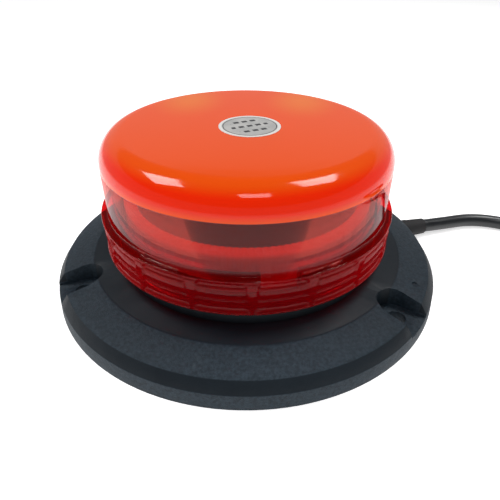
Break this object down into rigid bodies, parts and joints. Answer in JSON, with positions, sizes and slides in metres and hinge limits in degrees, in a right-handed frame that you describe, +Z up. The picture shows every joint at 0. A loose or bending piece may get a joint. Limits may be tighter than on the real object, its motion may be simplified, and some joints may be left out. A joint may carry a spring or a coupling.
{
  "type": "warning beacon",
  "caption": "Low-profile amber LED warning beacon: black flange with bolt pockets, twist-off amber lens with a ribbed grip collar, and a black two-core supply lead",
  "frame": {"origin": "centre of the bolt circle in the plane of the base's underside", "axes": "+Z up through the lens, -Y the front, the supply lead leaves the rim towards +X"},
  "size_m": [0.2949, 0.148, 0.0577],
  "materials": {
    "housing_black": "matt",
    "lens_amber": "gloss",
    "optic_amber": "gloss",
    "label_silver": "satin",
    "seal_rubber": "matt",
    "spreader_aluminium": "satin",
    "board_white": "satin",
    "led_yellow": "gloss",
    "dish_dark": "matt",
    "screw_steel": "satin",
    "driver_green": "satin",
    "spacer_nylon": "matt",
    "chip_black": "matt",
    "choke_grey": "matt",
    "capacitor_can": "satin",
    "resistor_dark": "satin",
    "pin_brass": "satin",
    "terminal_green": "satin",
    "cable_black": "satin",
    "core_red": "satin",
    "core_black": "satin",
    "tie_nylon": "satin",
    "tinned_copper": "satin"
  },
  "bodies": {
    "base": {"base_housing": "housing_black", "lens_seal": "seal_rubber", "foot_seal": "seal_rubber", "heat_spreader": "spreader_aluminium", "led_board": "board_white", "leds": "led_yellow", "optic_ring": "optic_amber", "centre_dish": "dish_dark", "dish_screw": "screw_steel", "led_board_screws": "screw_steel", "driver_board": "driver_green", "standoffs": "spacer_nylon", "driver_board_screws": "screw_steel", "driver_chip": "chip_black", "choke": "choke_grey", "capacitors": "capacitor_can", "transistors": "chip_black", "diodes": "chip_black", "resistors": "resistor_dark", "feed_pins": "pin_brass", "bottom_cover": "housing_black", "cover_screws": "screw_steel", "cable_grommet": "seal_rubber", "cable_inner": "cable_black", "cable_clamp": "housing_black", "clamp_screws": "screw_steel", "terminal_block": "terminal_green", "core_red_inner": "core_red", "core_black_inner": "core_black", "cable_tube": "cable_black", "cable_coil": "cable_black", "coil_tie": "tie_nylon", "lead_red": "core_red", "lead_black": "core_black", "lead_tips": "tinned_copper"},
    "lens_cap": {"lens": "lens_amber", "rating_label": "label_silver"}
  },
  "joints": [
    {"name": "lens_twist", "type": "hinge", "parent": "base", "child": "lens_cap", "pos_m": [0, 0, 0.0226], "axis": [0, 0, 1], "range_deg": [0, 20]}
  ]
}
